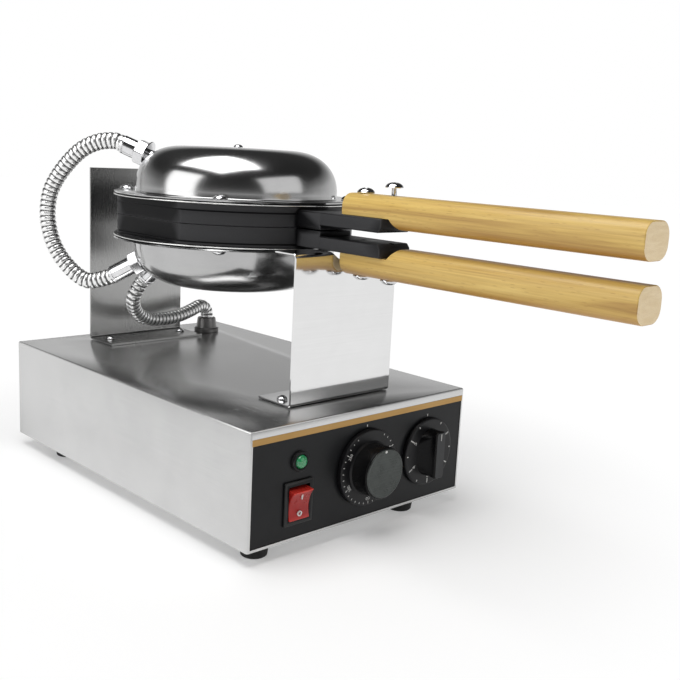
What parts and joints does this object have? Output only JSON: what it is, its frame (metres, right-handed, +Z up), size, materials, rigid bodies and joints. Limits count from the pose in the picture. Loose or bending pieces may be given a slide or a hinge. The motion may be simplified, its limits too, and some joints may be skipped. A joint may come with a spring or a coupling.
{
  "type": "waffle cone maker",
  "caption": "Electric rolling waffle cone iron on a box base, with two hinged round baking plates, wooden handles, a thermostat, a timer and a rocker switch.",
  "frame": {"origin": "on the surface that the feet stand on, under the middle of the machine's outer box", "axes": "+Z up, -Y towards the user (the handles and control panel), +X to the user's right"},
  "size_m": [0.23, 0.581, 0.2995],
  "materials": {
    "brushed_stainless": "brushed stainless sheet",
    "polished_steel": "polished stainless, mirror-like",
    "black_coated_casting": "black non-stick coating, satin",
    "beech": "oiled beech, rounded edges",
    "heater_sheath": "dull heating element sheath",
    "black_panel": "black painted panel, satin",
    "black_plastic": "moulded black plastic, semi-gloss",
    "red_plastic": "red translucent rocker",
    "green_lens": "green lamp lens",
    "black_rubber": "matt black rubber",
    "bronze": "plain sintered bronze",
    "white_ceramic": "unglazed ceramic body",
    "grey_plastic": "moulded grey plastic",
    "armoured_hose": "spiral-wound armoured hose",
    "bright_steel": "bright plated steel"
  },
  "bodies": {
    "base": {"base_housing": "brushed_stainless", "bottom_pan": "brushed_stainless", "control_panel": "black_panel", "foot_front_left": "black_rubber", "foot_front_right": "black_rubber", "foot_rear_left": "black_rubber", "foot_rear_right": "black_rubber", "lamp_bezel": "black_plastic", "lamp_lens": "green_lens", "switch_housing": "black_plastic", "thermostat_body": "grey_plastic", "timer_body": "grey_plastic", "terminal_block": "white_ceramic", "cord_gland": "black_rubber", "front_support": "polished_steel", "rear_support": "brushed_stainless", "front_support_screw_left": "bright_steel", "front_support_screw_right": "bright_steel", "rear_support_screw_left": "bright_steel", "rear_support_screw_right": "bright_steel", "pivot_bush": "bronze", "base_hose_gland": "black_rubber", "base_hose": "armoured_hose"},
    "iron_lower": {"lower_plate": "black_coated_casting", "lower_dome": "polished_steel", "lower_heater": "heater_sheath", "lower_handle": "beech", "lower_handle_screw_rear": "bright_steel", "lower_handle_screw_front": "bright_steel", "lower_dome_screw_45": "bright_steel", "lower_dome_screw_135": "bright_steel", "lower_dome_screw_225": "bright_steel", "lower_dome_screw_315": "bright_steel", "lower_crown_screw": "bright_steel", "lower_hose_fitting": "bright_steel", "base_hose_fitting": "bright_steel", "hinge_pin": "bright_steel", "roll_shaft": "bright_steel", "shaft_washer": "bright_steel", "shaft_nut": "bright_steel", "link_hose": "armoured_hose"},
    "iron_upper": {"upper_plate": "black_coated_casting", "upper_dome": "polished_steel", "upper_heater": "heater_sheath", "upper_handle": "beech", "upper_handle_screw_rear": "bright_steel", "upper_handle_screw_front": "bright_steel", "upper_dome_screw_45": "bright_steel", "upper_dome_screw_135": "bright_steel", "upper_dome_screw_225": "bright_steel", "upper_dome_screw_315": "bright_steel", "upper_crown_screw": "bright_steel", "upper_hose_fitting": "bright_steel"},
    "rocker": {"switch_rocker": "red_plastic"},
    "thermostat": {"thermostat_knob": "black_plastic", "thermostat_spindle": "bright_steel"},
    "timer": {"timer_knob": "black_plastic", "timer_spindle": "bright_steel"}
  },
  "joints": [
    {"name": "iron_roll", "type": "hinge", "parent": "base", "child": "iron_lower", "pos_m": [0, 0.1035, 0.2325], "axis": [0, -1, 0], "range_deg": [-180, 0], "deforming": ["base_hose"]},
    {"name": "lid_open", "type": "hinge", "parent": "iron_lower", "child": "iron_upper", "pos_m": [0, 0.2185, 0.2325], "axis": [-1, 0, 0], "range_deg": [0, 70], "deforming": ["link_hose"]},
    {"name": "rocker_press", "type": "hinge", "parent": "base", "child": "rocker", "pos_m": [-0.069, -0.066, 0.0405], "axis": [-1, 0, 0], "range_deg": [0, 20]},
    {"name": "thermostat_turn", "type": "hinge", "parent": "base", "child": "thermostat", "pos_m": [0, -0.069, 0.054], "axis": [0, 1, 0], "range_deg": [0, 300]},
    {"name": "timer_turn", "type": "hinge", "parent": "base", "child": "timer", "pos_m": [0.0705, -0.069, 0.0535], "axis": [0, 1, 0], "range_deg": [0, 300]}
  ]
}
